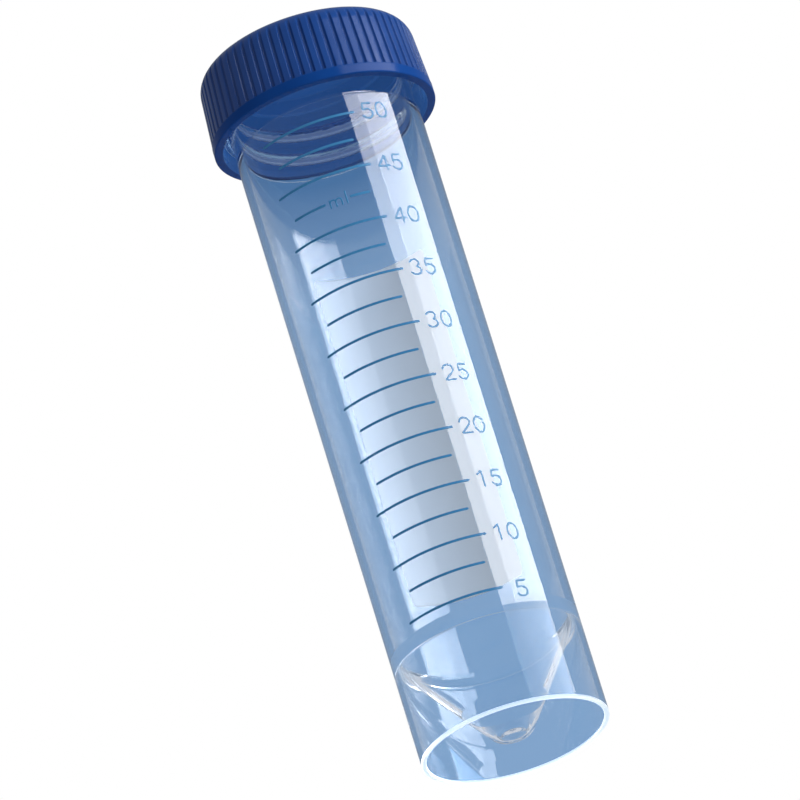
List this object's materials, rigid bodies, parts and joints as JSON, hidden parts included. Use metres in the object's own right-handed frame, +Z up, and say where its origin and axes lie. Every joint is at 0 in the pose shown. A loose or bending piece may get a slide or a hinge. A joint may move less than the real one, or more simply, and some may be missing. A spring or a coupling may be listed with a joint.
{
  "type": "self-standing 50 ml conical tube",
  "caption": "Clear plastic conical tube with a support skirt, graduated side and ribbed blue screw cap.",
  "frame": {"origin": "centre of the skirt's rim, on the surface that the tube stands on", "axes": "+Z up along the tube's axis towards the cap; the graduated side faces -Y; +X to its right"},
  "size_m": [0.0348, 0.0348, 0.1171],
  "materials": {
    "clear_plastic": "gloss",
    "blue_plastic": "gloss",
    "blue_ink": "matte",
    "white_ink": "matte"
  },
  "bodies": {
    "tube": {"tube": "clear_plastic"},
    "cap": {"screw_cap": "blue_plastic"}
  },
  "joints": [
    {"name": "cap_lift", "type": "slide", "parent": "tube", "child": "cap", "axis": [0, 0, 1], "range_m": [0, 0.03]}
  ]
}
